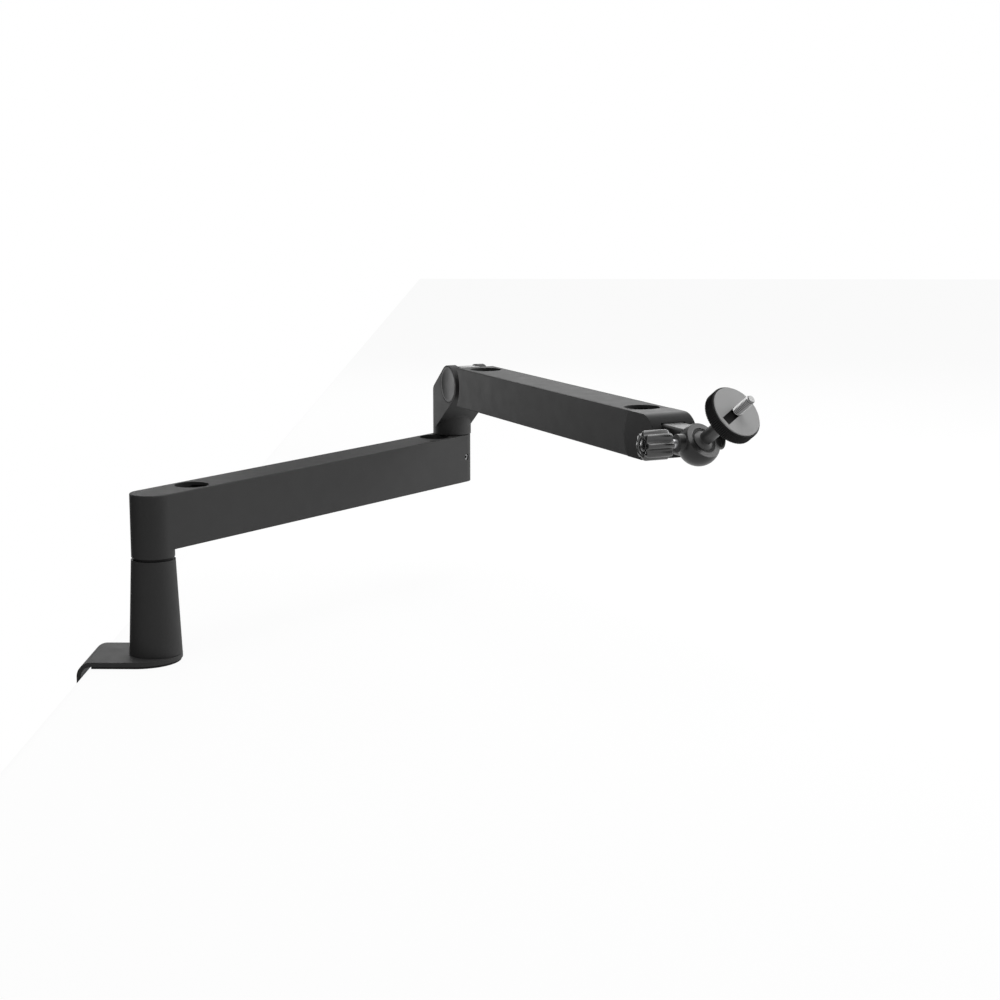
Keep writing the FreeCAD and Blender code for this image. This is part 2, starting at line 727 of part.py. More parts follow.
# Elbow knuckle: a round post that carries a forked hinge
half_knuckle = d.knuckle_radius
eye_radius = d.upper_height / 2
knuckle = Piece("knuckle_fork")
back_corner = knuckle_bottom + d.knuckle_back_height
polygon(knuckle.sketch("XZ_Plane"), [
    (-half_knuckle, knuckle_bottom), (d.fork_foot_x, knuckle_bottom),
    (d.hinge_x + eye_radius * 0.593, hinge_z - eye_radius * 0.805), (d.hinge_x, hinge_z),
    (d.hinge_x - eye_radius * 0.602, hinge_z + eye_radius * 0.798), (-half_knuckle, back_corner)])
knuckle.pad(doc.getObject("knuckle_fork_sketch1"), half_knuckle * 2, Midplane=True)
eye = circle(knuckle.sketch("XZ_Plane"), d.hinge_x, hinge_z, eye_radius)
knuckle.pad(eye, half_knuckle * 2, Midplane=True)
plan = fuse("knuckle_plan",
            cylinder("knuckle_post", half_knuckle, knuckle_bottom, upper_top),
            box("knuckle_front", (Dim.of(0), d.hinge_x + eye_radius + 1),
                (-half_knuckle, half_knuckle), (knuckle_bottom, upper_top)))
post_below = cylinder("knuckle_foot", half_knuckle, knuckle_bottom,
                      knuckle_bottom + d.knuckle_collar_height)
collar_low = knuckle_bottom + d.knuckle_collar_height
collar_full = cone("collar_full", half_knuckle, d.knuckle_collar_radius, collar_low,
                   collar_low + d.knuckle_collar_thickness)
collar = common("knuckle_collar", collar_full,
                box("collar_half", (d.knuckle_collar_start, d.knuckle_collar_radius),
                    (-half_knuckle, half_knuckle),
                    (collar_low, collar_low + d.knuckle_collar_thickness)))
knuckle_solid = fuse("knuckle_solid", common("knuckle_trim", knuckle.body, plan), post_below, collar)
slot_half = d.cheek_slot / 2
fork_slot = cylinder("fork_slot", eye_radius + 0.8, -slot_half, slot_half, "Y", (d.hinge_x, hinge_z))
bolt_way = cylinder("bolt_way", d.hinge_bolt_radius + d.fit, -half_knuckle - 1, half_knuckle + 1,
                    "Y", (d.hinge_x, hinge_z))
cap_depth = d.cheek_cap_depth
sinks = []
for side, sign in (("near", -1), ("far", 1)):
    outer = (half_knuckle + 1) * sign
    cap_floor = (half_knuckle - cap_depth) * sign
    head_floor = (half_knuckle - cap_depth - d.hinge_head_depth) * sign
    for kind, radius, floor in (("cap", d.cheek_cap_radius + d.end_gap, cap_floor),
                                ("head", d.hinge_head_radius + d.end_gap, head_floor)):
        low, high = (outer, floor) if sign < 0 else (floor, outer)
        sinks.append(cylinder(f"{kind}_sink_{side}", radius, low, high, "Y", (d.hinge_x, hinge_z)))
pin_socket = cylinder("pin_socket", d.elbow_pin_radius + d.fit, knuckle_bottom - 1,
                      knuckle_bottom + d.elbow_pin_seat + d.end_gap)
node(cut("elbow_knuckle", knuckle_solid, fork_slot, bolt_way, pin_socket, *sinks),
     "elbow_knuckle", elbow_frame)

hinge = (d.hinge_x, hinge_z)
head_start = half_knuckle - cap_depth - d.hinge_head_depth
head_end = half_knuckle - cap_depth - d.end_gap
bolt_head = cylinder("bolt_head", d.hinge_head_radius, head_start, head_end, "Y", hinge)
bolt_shank = cylinder("bolt_shank", d.hinge_bolt_radius, -head_end, head_start, "Y", hinge)
node(fuse("hinge_bolt", bolt_head, bolt_shank), "hinge_bolt", elbow_frame)
node(tube("hinge_nut", d.hinge_head_radius, d.hinge_bolt_radius + d.fit, -head_end, -head_start,
          "Y", hinge), "hinge_nut", elbow_frame)
cap_low = half_knuckle - cap_depth
caps = [cylinder("cap_near", d.cheek_cap_radius, -half_knuckle, -cap_low, "Y", hinge),
        cylinder("cap_far", d.cheek_cap_radius, cap_low, half_knuckle, "Y", hinge)]
node(group("cap_group", caps), "hinge_caps", elbow_frame)

# Tongue of the upper arm, held between the cheeks
bush_radius = d.hinge_bolt_radius + d.running_fit + d.hinge_bush_wall
tongue_half = slot_half - d.hinge_washer_thickness - d.end_gap
tongue_low = hinge_z - d.tongue_half_height
tongue_high = hinge_z + d.tongue_half_height
nest_radius = d.end_radius - d.end_gap
tongue_eye = cylinder("tongue_eye", d.tongue_half_height, -tongue_half, tongue_half, "Y", hinge)
tongue_bar = box("tongue_bar", (d.hinge_x, d.hinge_x + d.end_radius), (-tongue_half, tongue_half),
                 (tongue_low, tongue_high))
tongue_nest = cylinder("tongue_nest", nest_radius, -d.upper_width, d.upper_width, "Y", hinge)
tenon_low = upper_bottom + 2.6
tenon_high = tenon_low + d.tenon_thickness
tenon = box("tenon", (d.hinge_x + d.end_radius * 0.6, d.tenon_reach), (-tongue_half, tongue_half),
            (tenon_low, tenon_high))
last_screw = d.tenon_reach - d.tenon_screw_back
tenon_spots = [(last_screw, 0), (last_screw - d.tenon_screw_pitch, 0)]


def tenon_screw(name, spot, spare):
    head_low = upper_bottom + 0.4 - spare
    head = cylinder(f"{name}_head", d.tenon_screw_head_radius + spare, head_low,
                    upper_bottom + 0.4 + d.tenon_screw_head_height, at=spot)
    shank = cylinder(f"{name}_shank", d.tenon_screw_radius + spare, upper_bottom + 0.4,
                     tenon_high - 0.6 + spare, at=spot)
    return fuse(name, head, shank)


tenon_holes = [tenon_screw(f"tenon_hole{i}", s, d.fit) for i, s in enumerate(tenon_spots)]
tongue_body = fuse("tongue_body", tongue_eye, common("tongue_nested", tongue_bar, tongue_nest), tenon)
tongue_bore = cylinder("tongue_bore", bush_radius + d.fit, -slot_half, slot_half, "Y", hinge)
node(cut("hinge_tongue", tongue_body, tongue_bore, *tenon_holes), "hinge_tongue", elbow_frame)
node(group("tenon_screw_group", [tenon_screw(f"tenon_screw{i}", s, Dim.of(0))
                                 for i, s in enumerate(tenon_spots)]), "tongue_screws", elbow_frame)
node(tube("hinge_bush", bush_radius, d.hinge_bolt_radius + d.running_fit, -tongue_half, tongue_half,
          "Y", hinge), "hinge_bush", elbow_frame)
near_washer = tube("near_washer", d.hinge_washer_radius, d.hinge_bolt_radius + d.running_fit,
                   -(tongue_half + d.hinge_washer_thickness), -tongue_half, "Y", hinge)
far_washer = tube("far_washer", d.hinge_washer_radius, d.hinge_bolt_radius + d.running_fit,
                  tongue_half, tongue_half + d.hinge_washer_thickness, "Y", hinge)
node(group("washer_group", [near_washer, far_washer]), "hinge_washers", elbow_frame)

# Upper arm
half_upper = d.upper_width / 2
upper_ledge = upper_top - d.cover_thickness
upper = Piece("upper_arm_beam")
beam = rectangle(upper.sketch("XZ_Plane"), d.hinge_x, d.nose_x, upper_bottom, upper_top)
upper.pad(beam, d.upper_width, Midplane=True)
upper.round(d.edge_round, lambda edge: abs(abs(middle(edge).y) - half_upper.value) < 0.01
            and d.hinge_x.value + 1 < middle(edge).x < d.nose_x.value - 1)
for centre in (d.hinge_x, d.nose_x):
    hollow = circle(upper.sketch("XZ_Plane"), centre, hinge_z, d.end_radius)
    upper.pocket(hollow, d.upper_width + 10, Midplane=True)
cable_way(upper, upper_top, d.upper_channel_depth, d.upper_well_x, head_well_x, d.upper_cover_width)
upper_magnets = magnets(upper, "upper_magnet", upper_ledge,
                        magnet_spots(d.upper_well_x, head_well_x, d.upper_cover_width))
mortise = box("mortise", (d.hinge_x, d.tenon_reach + d.end_gap),
              (-(tongue_half + d.fit), tongue_half + d.fit), (tenon_low - d.fit, tenon_high + d.fit))
screw_ways = [tenon_screw(f"screw_way{i}", s, d.fit) for i, s in enumerate(tenon_spots)]
screw_mouths = [cylinder(f"screw_mouth{i}", d.tenon_screw_head_radius + d.fit, upper_bottom - 1,
                         upper_bottom + 1, at=s) for i, s in enumerate(tenon_spots)]
nose_screw_y = half_upper - 4
nose_screw_z = upper_bottom + 5
nose_front = d.nose_x + d.nose_length
nose_foot_x = d.nose_x + d.nose_foot
nose_screw_head = nose_foot_x - 4
nose_screw_tip = d.nose_x - d.end_radius - 5
nose_ways = [cylinder(f"nose_way{i}", d.tenon_screw_radius + d.fit, nose_screw_tip - d.end_gap,
                      nose_screw_head, "X", (sign * nose_screw_y, nose_screw_z))
             for i, sign in enumerate((-1, 1))]
node(cut("upper_arm", upper.body, mortise, *screw_ways, *screw_mouths, *nose_ways),
     "upper_arm", elbow_frame)
node(upper_magnets, "upper_magnets", elbow_frame)
node(cover("upper_cover", upper_top, d.upper_well_x, head_well_x, d.upper_cover_width).body,
     "upper_cover", elbow_frame)

# Head housing: the rolled nose that closes the arm and carries the ball socket
nest = cylinder("nose_nest", nest_radius, -half_upper, half_upper, "Y", (d.nose_x, hinge_z))
nest_band = box("nose_band", (d.nose_x - d.end_radius - 1, d.nose_x + 2), (-half_upper, half_upper),
                (upper_bottom, upper_top))
nose_block = box("nose_block", (d.nose_x, nose_front), (-half_upper, half_upper),
                 (upper_bottom, upper_top))
nose_raw = fuse("nose_raw", common("nose_back", nest, nest_band), nose_block)
nose_soft = rounded("nose_soft", nose_raw, d.nose_roll,
                    lambda edge: abs(middle(edge).x - nose_front.value) < 0.01
                    and abs(middle(edge).z - upper_top.value) < 0.01)
head_well = cylinder("head_well", d.well_radius, upper_top - d.upper_channel_depth, upper_top + 1,
                     at=(head_well_x, 0))
neck_half = d.socket_neck_width / 2
neck_low = socket_z - d.socket_neck_height * 0.46
neck_high = neck_low + d.socket_neck_height
neck_start = nose_foot_x
under_hood = box("under_hood", (nose_foot_x, nose_front + 1), (-d.upper_width, d.upper_width),
                 (upper_bottom - 1, upper_bottom + d.hood_height))
neck_recess = box("neck_recess", (neck_start - d.end_gap, socket_x),
                  (-(neck_half + d.end_gap), neck_half + d.end_gap),
                  (neck_low - d.end_gap, neck_high + d.end_gap))
spigot_start = neck_start - d.socket_spigot_length
spigot_bore = cylinder("spigot_bore", d.socket_spigot_radius + d.fit, spigot_start - d.end_gap,
                       neck_start + 1, "X", (0, socket_z))
set_pin_x = neck_start - d.socket_spigot_length / 2
set_pin_high = socket_z - d.socket_spigot_radius - d.end_gap
set_pin_way = cylinder("set_pin_way", d.set_screw_radius + d.fit, upper_bottom - 1, socket_z,
                       at=(set_pin_x, 0))
nose_heads = [cylinder(f"nose_head_way{i}", d.tenon_screw_head_radius + d.fit, nose_screw_head,
                       nose_foot_x + 1, "X", (sign * nose_screw_y, nose_screw_z))
              for i, sign in enumerate((-1, 1))]
node(cut("head_housing", nose_soft, head_well, under_hood, neck_recess, spigot_bore, set_pin_way,
         *nose_heads, *nose_ways), "head_housing", elbow_frame)
nose_screws = []
for i, sign in enumerate((-1, 1)):
    spot = (sign * nose_screw_y, nose_screw_z)
    head = cylinder(f"nose_screw_head{i}", d.tenon_screw_head_radius, nose_screw_head,
                    nose_screw_head + 2.5, "X", spot)
    shank = cylinder(f"nose_screw_shank{i}", d.tenon_screw_radius, nose_screw_tip, nose_screw_head,
                     "X", spot)
    nose_screws.append(fuse(f"nose_screw{i}", head, shank))
node(group("nose_screw_group", nose_screws), "housing_screws", elbow_frame)
node(cylinder("socket_grub", d.set_screw_radius, upper_bottom + 0.6, set_pin_high,
              at=(set_pin_x, 0)), "socket_set_screw", elbow_frame)

# Ball socket, its liner and the locking screw
lock_z = socket_z + d.lock_lift
seat_outer = d.ball_radius + d.running_fit + d.seat_wall
ball_spot = (socket_x, 0, socket_z)
socket_ball = sphere("socket_ball", d.socket_radius, *ball_spot)
socket_neck = rounded("socket_neck", box("socket_neck_raw", (neck_start, socket_x),
                                         (-neck_half, neck_half), (neck_low, neck_high)),
                      Dim.of(2.5), lambda edge: abs(edge.tangentAt(edge.FirstParameter).x) > 0.9)
socket_spigot = cylinder("socket_spigot", d.socket_spigot_radius, spigot_start, neck_start + 1, "X",
                         (0, socket_z))
socket_boss = cylinder("socket_boss", d.socket_boss_radius, -d.socket_boss_reach,
                       d.socket_boss_reach, "Y", (socket_x, lock_z))
socket_hollow = sphere("socket_hollow", seat_outer + d.running_fit, *ball_spot)
mouth = doc.addObject("Part::Cylinder", "socket_mouth")
bind(mouth, "Radius", d.socket_radius + 0.5)
bind(mouth, "Height", d.socket_radius)
mouth.Placement = (Placement(Vector(socket_x.value, 0, socket_z.value), stem_turn)
                   * Placement(Vector(0, 0, d.socket_mouth.value), Rotation()))
lock_way = cylinder("lock_way", d.lock_screw_radius + d.running_fit, -d.socket_boss_reach - 1,
                    Dim.of(0), "Y", (socket_x, lock_z))
socket_raw = fuse("socket_raw", socket_ball, socket_neck, socket_spigot, socket_boss)
node(cut("ball_socket", socket_raw, socket_hollow, mouth, lock_way), "ball_socket", elbow_frame)

seat_mouth = cylinder("seat_mouth", d.socket_radius, d.seat_mouth, d.socket_radius)
node(cut("seat_cup", sphere("seat_outside", seat_outer),
         sphere("seat_inside", d.ball_radius + d.running_fit), seat_mouth), "ball_seat", stem_frame)

knob_turn = Rotation(Vector(1, 0, 0), 90)
lock_frame = ball_frame * Placement(Vector(0, 0, d.lock_lift.value), knob_turn)
lock_tip = seat_outer + 0.3
lock_end = d.lock_knob_start + d.lock_knob_length * 0.6
node(cylinder("lock_rod", d.lock_screw_radius, lock_tip, lock_end), "lock_screw", lock_frame)
lock = fluted_knob("lock_knob", d.lock_knob_radius, d.lock_knob_start, d.lock_knob_length,
                   d.lock_knob_flute_radius, 8, d.lock_screw_radius + d.fit,
                   d.lock_knob_start - 1, lock_end + d.end_gap)
hub = circle(lock.sketch(level=d.lock_knob_start + d.lock_knob_length), 0, 0, d.lock_knob_radius * 0.5)
lock.pocket(hub, 2)
node(lock.body, "lock_knob", lock_frame)

# Ball stem, stud and lock disc, drawn along Z from the ball centre
disc_face = d.disc_distance
disc_back = disc_face - d.disc_thickness
stem_top = disc_face - d.disc_slot_depth - 2
stem_bar = cylinder("stem_bar", d.stem_radius, Dim.of(0), stem_top)
stem_body = fuse("stem_body", sphere("stem_ball", d.ball_radius), stem_bar)
stud_start = disc_face - d.stud_root
stud_way = cylinder("stud_way", d.stud_neck_radius + d.fit, stud_start - d.end_gap, disc_face)
node(cut("ball_stem", stem_body, stud_way), "ball_stem", stem_frame)
pad_top = disc_face + d.disc_face_thickness
stud_end = pad_top + d.stud_length
thread_start = pad_top + d.stud_relief
thread_end = stud_end - d.stud_chamfer
stud_neck = cylinder("stud_neck", d.stud_neck_radius, stud_start, thread_start)
stud_bar = cylinder("stud_bar", d.stud_radius, thread_start, thread_end)
stud_tip = cone("stud_tip", d.stud_radius, d.stud_radius - d.stud_chamfer, thread_end, stud_end)
node(fuse("stud", stud_neck, stud_bar, stud_tip), "stud", stem_frame)
disc_plate = cylinder("disc_plate", d.disc_radius, disc_back, disc_face)
disc_edge = rounded("disc_edge", disc_plate, Dim.of(0.8), lambda edge: edge.Length > 4 * d.disc_radius.value)
stem_hole = cylinder("disc_stem_hole", d.stem_radius + d.running_fit, disc_back - 1, stem_top + d.end_gap)
stud_hole = cylinder("disc_stud_hole", d.stud_radius + d.running_fit, disc_back, pad_top)


def disc_slot(name, low):
    """Straight slot across the face of the disc, for turning it with a coin."""
    reach = (-d.disc_slot_reach, d.disc_slot_reach)
    side = (-d.disc_slot_width / 2, d.disc_slot_width / 2)
    return box(name, reach, side, (low, pad_top + 1))


node(cut("disc_body", disc_edge, stem_hole, stud_hole,
         disc_slot("disc_groove", disc_face - d.disc_slot_depth)), "lock_disc", disc_frame)
face_ring = tube("face_ring", d.disc_radius - d.disc_face_inset, d.stud_radius + d.running_fit,
                 disc_face, pad_top)
node(cut("face_pad", face_ring, disc_slot("face_groove", disc_face - 1)), "disc_face", disc_frame)

doc.recompute()
for obj in doc.Objects:
    if "Invalid" in obj.State or "Error" in obj.State:
        raise RuntimeError(f"{obj.Name} did not recompute")
os.makedirs("parts", exist_ok=True)
for obj in nodes:
    if obj.Shape.isNull() or not obj.Shape.isValid():
        raise RuntimeError(f"{obj.Label} has no valid shape")
    obj.Shape.exportStep(os.path.join("parts", f"{obj.Label}.step"))
    bounds = obj.Shape.BoundBox
    print(f"{obj.Label}: {len(obj.Shape.Solids)} solid(s), {obj.Shape.Volume:.0f} mm3,"
          f" z {bounds.ZMin:.1f} to {bounds.ZMax:.1f}")
print(len(nodes), "nodes")
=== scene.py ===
# %% [markdown]
# # Dressing a low-profile boom arm
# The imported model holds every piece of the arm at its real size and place. This lesson adds what it
# lacks: turned threads, knurls and lobed grips, and a finish for each surface. Nothing that came from
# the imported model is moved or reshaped. A piece that needs more detail is modelled again in its place.

# %% load the frame
import json
import math
import bmesh
import bpy
from mathutils import Matrix, Vector


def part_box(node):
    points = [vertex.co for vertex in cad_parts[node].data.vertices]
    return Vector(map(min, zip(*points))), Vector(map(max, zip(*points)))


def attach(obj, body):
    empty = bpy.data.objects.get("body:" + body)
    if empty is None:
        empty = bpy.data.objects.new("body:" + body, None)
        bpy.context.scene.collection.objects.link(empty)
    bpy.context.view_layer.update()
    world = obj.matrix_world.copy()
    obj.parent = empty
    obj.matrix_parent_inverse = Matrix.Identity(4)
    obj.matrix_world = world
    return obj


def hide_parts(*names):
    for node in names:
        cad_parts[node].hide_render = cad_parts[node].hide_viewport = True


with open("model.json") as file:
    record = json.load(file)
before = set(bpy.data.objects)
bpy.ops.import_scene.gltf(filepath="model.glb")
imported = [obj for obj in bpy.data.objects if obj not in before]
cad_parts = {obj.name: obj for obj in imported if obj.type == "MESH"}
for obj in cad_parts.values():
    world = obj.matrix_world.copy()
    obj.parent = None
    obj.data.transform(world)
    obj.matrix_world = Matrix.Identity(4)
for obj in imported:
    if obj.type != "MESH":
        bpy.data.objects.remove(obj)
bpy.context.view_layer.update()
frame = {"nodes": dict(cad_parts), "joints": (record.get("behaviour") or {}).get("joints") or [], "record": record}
MM = 0.001
FIT = 0.03 * MM
END_GAP = 0.2 * MM

# %% [markdown]
# ## Axes to work along
# The stud, the disc and the grips are turned parts, so each is made about Z at the origin and then set on
# its own axis. Those axes could be typed in again, but the joints already hold them, and reading them
# keeps the new pieces in line when the arm's sizes change.

# %% axes and measures
AXES = {j["name"]: (Vector(j["pos_m"]), Vector(j["axis"]).normalized())
        for j in frame["joints"] if j["type"] == "hinge"}
UP = Vector((0, 0, 1))
STEM = AXES["disc_turn"]
LOCK = AXES["lock_turn"]
CLAMP = AXES["screw_turn"]


def points_of(name):
    return [v.co.copy() for v in frame["nodes"][name].data.vertices]


def reach(points, origin, axis):
    """How far points go along an axis, lowest and highest, and their largest radius about it."""
    heights = [(p - origin).dot(axis) for p in points]
    radius = max((p - origin - axis * h).length for p, h in zip(points, heights))
    return min(heights), max(heights), radius


for name, line in (("lock_disc", STEM), ("stud", STEM), ("lock_knob", LOCK), ("clamp_handle", CLAMP)):
    low, high, radius = reach(points_of(name), *line)
    print(f"{name}: {low / MM:.1f} to {high / MM:.1f} mm along its axis, radius {radius / MM:.2f}")

# %% [markdown]
# ## Shader maths in plain Python
# A finish is a small network of nodes. Linking them one by one hides the idea behind the wiring, so a
# socket is wrapped in a class that knows arithmetic: `1 - mask * 0.3` then adds its own Math nodes. One
# more method puts in any other node, with its settings first and its sockets after.

# %% sockets that do arithmetic
class Wire:
    """An output socket. Arithmetic on it adds Math nodes."""

    def __init__(self, paint, socket):
        self.paint = paint
        self.socket = socket

    def maths(self, operation, first, second):
        return self.paint.add("ShaderNodeMath", {"operation": operation}, {0: first, 1: second})

    def __add__(self, other):
        return self.maths("ADD", self, other)

    def __radd__(self, other):
        return self.maths("ADD", other, self)

    def __sub__(self, other):
        return self.maths("SUBTRACT", self, other)

    def __rsub__(self, other):
        return self.maths("SUBTRACT", other, self)

    def __mul__(self, other):
        return self.maths("MULTIPLY", self, other)

    def __rmul__(self, other):
        return self.maths("MULTIPLY", other, self)


class Paint:
    """A node tree: a material's, or the world's."""

    def __init__(self, owner):
        owner.use_nodes = True
        self.tree = owner.node_tree
        self.tree.nodes.clear()

    def add(self, kind, settings=None, inputs=None, output=0):
        """Adds any node: settings first, then values or links by socket name or number."""
        node = self.tree.nodes.new(kind)
        for key, value in (settings or {}).items():
            setattr(node, key, value)
        for key, value in (inputs or {}).items():
            if isinstance(value, Wire):
                self.tree.links.new(value.socket, node.inputs[key])
            else:
                node.inputs[key].default_value = value
        return Wire(self, node.outputs[output]) if len(node.outputs) else None

    def noise(self, scale, detail=2.0, stretch=(1, 1, 1)):
        """Noise with about `scale` lumps to a metre, on Object coordinates."""
        place = self.add("ShaderNodeTexCoord", output="Object")
        placed = self.add("ShaderNodeMapping", {}, {"Vector": place, "Scale": stretch})
        return self.add("ShaderNodeTexNoise", {},
                        {"Vector": placed, "Scale": scale, "Detail": detail}, "Fac")

    def blend(self, factor, first, second):
        """Mixes two colours."""
        return self.add("ShaderNodeMix", {"data_type": "RGBA"}, {0: factor, 6: first, 7: second}, 2)

    def groove(self):
        """How deep a new piece's own vertices lie in a hollow, 0 to 1, which sets how much painted shade darkens
        them.
        """
        return self.add("ShaderNodeAttribute", {"attribute_name": "groove"}, output="Fac")

    def seen(self, *kinds):
        """1 for rays of these kinds, such as Camera."""
        total = 0
        for kind in kinds:
            total = total + self.add("ShaderNodeLightPath", output=f"Is {kind} Ray")
        return total


def grey(level, warm=0.0):
    return (level * (1 + warm), level, level * (1 - warm), 1)


print("sockets can be added, subtracted and multiplied")

# %% [markdown]
# ## Finishes
# Most of the arm wears a satin powder coat. Up close that is not a flat colour: the powder melts into a
# fine orange peel, the film is a little thinner and paler on edges, and the sheen varies from place to
# place. All of it could be painted into an image, but noise on Object coordinates needs no image and keeps
# its scale in millimetres. The Bevel node gives the sharp edges of the solids a small round that catches
# light, and the angle between its normal and the true one marks where the edges are. Where a piece has
# threads, ribs or hollows, its vertices carry their depth as an attribute, and painted shade darkens them there.
# The knob shines more than the bowl beside it, so these two have finishes of their own.

# %% coats, plastics and rubber
FINISHES = {}


def soft_edges(paint, radius):
    """The rounded normal, and a mask that is 1 on edges."""
    round_normal = paint.add("ShaderNodeBevel", {"samples": 6}, {"Radius": radius})
    true_normal = paint.add("ShaderNodeNewGeometry", output="Normal")
    turn = paint.add("ShaderNodeVectorMath", {"operation": "DOT_PRODUCT"},
                     {0: round_normal, 1: true_normal}, "Value")
    mask = paint.add("ShaderNodeMapRange", {},
                     {"Value": turn, "From Min": 0.99, "From Max": 0.8, "To Min": 0.0, "To Max": 1.0})
    return round_normal, mask


def coat(slot, level, gloss, peel, depth, worn, specular, edge=0.45, warm=0.0):
    """A coat or moulded surface: base grey, roughness, size and depth of its grain, edge grey."""
    material = bpy.data.materials.new(slot)
    paint = Paint(material)
    round_normal, edges = soft_edges(paint, edge * MM)
    cloud = paint.noise(14, detail=4)
    patch = paint.noise(90, detail=3)
    grain = paint.noise(1 / (peel * MM), detail=2)
    tone = paint.blend(cloud, grey(level * 0.86, warm), grey(level * 1.14, warm))
    speck = paint.blend(grain * 0.35, tone, grey(level * 1.5, warm))
    rubbed = paint.blend(edges * patch * 0.9, speck, grey(worn, warm))
    # Painted shade: deep in a hollow the colour darkens to a fifth of the base grey.
    colour = paint.blend(paint.groove() * 0.8, rubbed, grey(level * 0.2))
    rough = gloss + (patch - 0.5) * 0.12 + (grain - 0.5) * 0.1 + paint.groove() * 0.25
    bump = paint.add("ShaderNodeBump", {}, {"Strength": 0.35, "Distance": depth * MM,
                                           "Height": grain, "Normal": round_normal})
    shader = paint.add("ShaderNodeBsdfPrincipled", {}, {
        "Base Color": colour, "Roughness": rough, "Normal": bump, "Specular IOR Level": specular})
    paint.add("ShaderNodeOutputMaterial", {}, {"Surface": shader})
    FINISHES[slot] = material


coat("satin_paint", level=0.030, gloss=0.60, peel=0.45, depth=0.05, worn=0.07, specular=0.17)
coat("cover_paint", level=0.030, gloss=0.60, peel=0.45, depth=0.05, worn=0.07, specular=0.17)
coat("dark_cast", level=0.040, gloss=0.34, peel=0.70, depth=0.05, worn=0.09, specular=0.45)
coat("black_plastic", level=0.014, gloss=0.24, peel=0.35, depth=0.03, worn=0.06, specular=0.60)
coat("head_plastic", level=0.011, gloss=0.44, peel=0.40, depth=0.04, worn=0.08, specular=0.09)
coat("polished_grip", level=0.010, gloss=0.20, peel=0.35, depth=0.03, worn=0.06, specular=0.9)
coat("matt_bowl", level=0.012, gloss=0.34, peel=0.35, depth=0.03, worn=0.05, specular=0.34)
coat("white_nylon", level=0.62, gloss=0.50, peel=0.80, depth=0.03, worn=0.70, specular=0.40, warm=0.02)
coat("grey_pad", level=0.30, gloss=0.70, peel=0.50, depth=0.08, worn=0.36, specular=0.25)
coat("black_rubber", level=0.012, gloss=0.78, peel=0.60, depth=0.12, worn=0.03, specular=0.20)
print(len(FINISHES), "coats and mouldings")

# %% [markdown]
# Bare metal is Metallic 1 with a grey base. What makes it read as turned steel or bronze is that its
# roughness runs in fine lines along the tool's path, so the noise is squeezed flat along one axis.

# %% bare metals
def metal(slot, colour, gloss, lines, edge=0.15):
    """Bare metal: its colour, roughness and how fine its turning lines are."""
    material = bpy.data.materials.new(slot)
    paint = Paint(material)
    round_normal, edges = soft_edges(paint, edge * MM)
    turning = paint.noise(350, detail=3, stretch=(0.15, 0.15, lines))
    stain = paint.noise(60, detail=4)
    clean = paint.blend(stain, tuple(c * 0.82 for c in colour) + (1,), tuple(colour) + (1,))
    # Painted shade: deep in a thread's root or a socket the metal darkens to near black.
    tone = paint.blend(paint.groove() * 0.9, clean, grey(0.02))
    bump = paint.add("ShaderNodeBump", {}, {"Strength": 0.2, "Distance": 0.02 * MM,
                                           "Height": turning, "Normal": round_normal})
    rough = gloss + (turning - 0.5) * 0.2 + (stain - 0.5) * 0.12 + paint.groove() * 0.3 - edges * 0.05
    shader = paint.add("ShaderNodeBsdfPrincipled", {}, {
        "Base Color": tone, "Roughness": rough, "Normal": bump, "Metallic": 1.0})
    paint.add("ShaderNodeOutputMaterial", {}, {"Surface": shader})
    FINISHES[slot] = material


metal("plain_steel", (0.50, 0.50, 0.51), gloss=0.34, lines=6)
metal("bright_plate", (0.40, 0.40, 0.40), gloss=0.18, lines=4)
metal("bearing_bronze", (0.60, 0.42, 0.20), gloss=0.38, lines=6)
SLOT_OF = {part["node"]: part["material_slot"] for part in frame["record"]["subparts"]}
WEARS = SLOT_OF | {"lock_knob": "polished_grip", "ball_socket": "matt_bowl", "ball_seat": "head_plastic"}
for node, finish in WEARS.items():
    mesh = frame["nodes"][node].data
    mesh.materials.clear()
    mesh.materials.append(FINISHES[finish])
print("every node wears one of", len(FINISHES), "finishes")

# %% [markdown]
# ## A small lathe
# A turned part is one outline swept round an axis. In Blender that is Spin: a few vertices joined by
# edges, turned through 360 degrees with the seam merged. The outline is given as radius and height. When
# the mesh is done it is set on its axis, and it takes the body, the finish and the place of its node.

# %% outline, spin and place
BODY_OF = {n: body for body, members in frame["record"]["behaviour"]["bodies"].items() for n in members}


def new_mesh():
    """An empty mesh whose vertices can tell how deep in a hollow they lie, for the painted shade there."""
    bm = bmesh.new()
    bm.verts.layers.float.new("groove")
    return bm


# The depth given here darkens the vertex's colour with painted shade and raises its roughness.
def set_groove_shade(bm, vert, depth):
    vert[bm.verts.layers.float["groove"]] = depth


def outline(bm, points):
    """A chain of edges in the XZ plane; points are radius and height."""
    verts = [bm.verts.new((radius, 0, height)) for radius, height in points]
    edges = [bm.edges.new(pair) for pair in zip(verts, verts[1:])]
    return verts + edges


def lathe(points, steps):
    """Spins an outline about Z."""
    bm = new_mesh()
    bmesh.ops.spin(bm, geom=outline(bm, points), cent=(0, 0, 0), axis=UP, angle=math.tau, steps=steps,
                   use_merge=True)
    bmesh.ops.remove_doubles(bm, verts=bm.verts, dist=1e-7)
    bmesh.ops.recalc_face_normals(bm, faces=bm.faces)
    return bm


def pull_in(vert, factor):
    """Moves a vertex towards the Z axis."""
    vert.co.x *= factor
    vert.co.y *= factor


def set_on(bm, origin, axis, line=None):
    """Turns Z to the axis, and X to a line across it where one is given."""
    x = line or axis.orthogonal().normalized()
    turn = Matrix((x, axis.cross(x), axis)).transposed().to_4x4()
    bmesh.ops.transform(bm, matrix=Matrix.Translation(origin) @ turn, verts=bm.verts)
    return bm


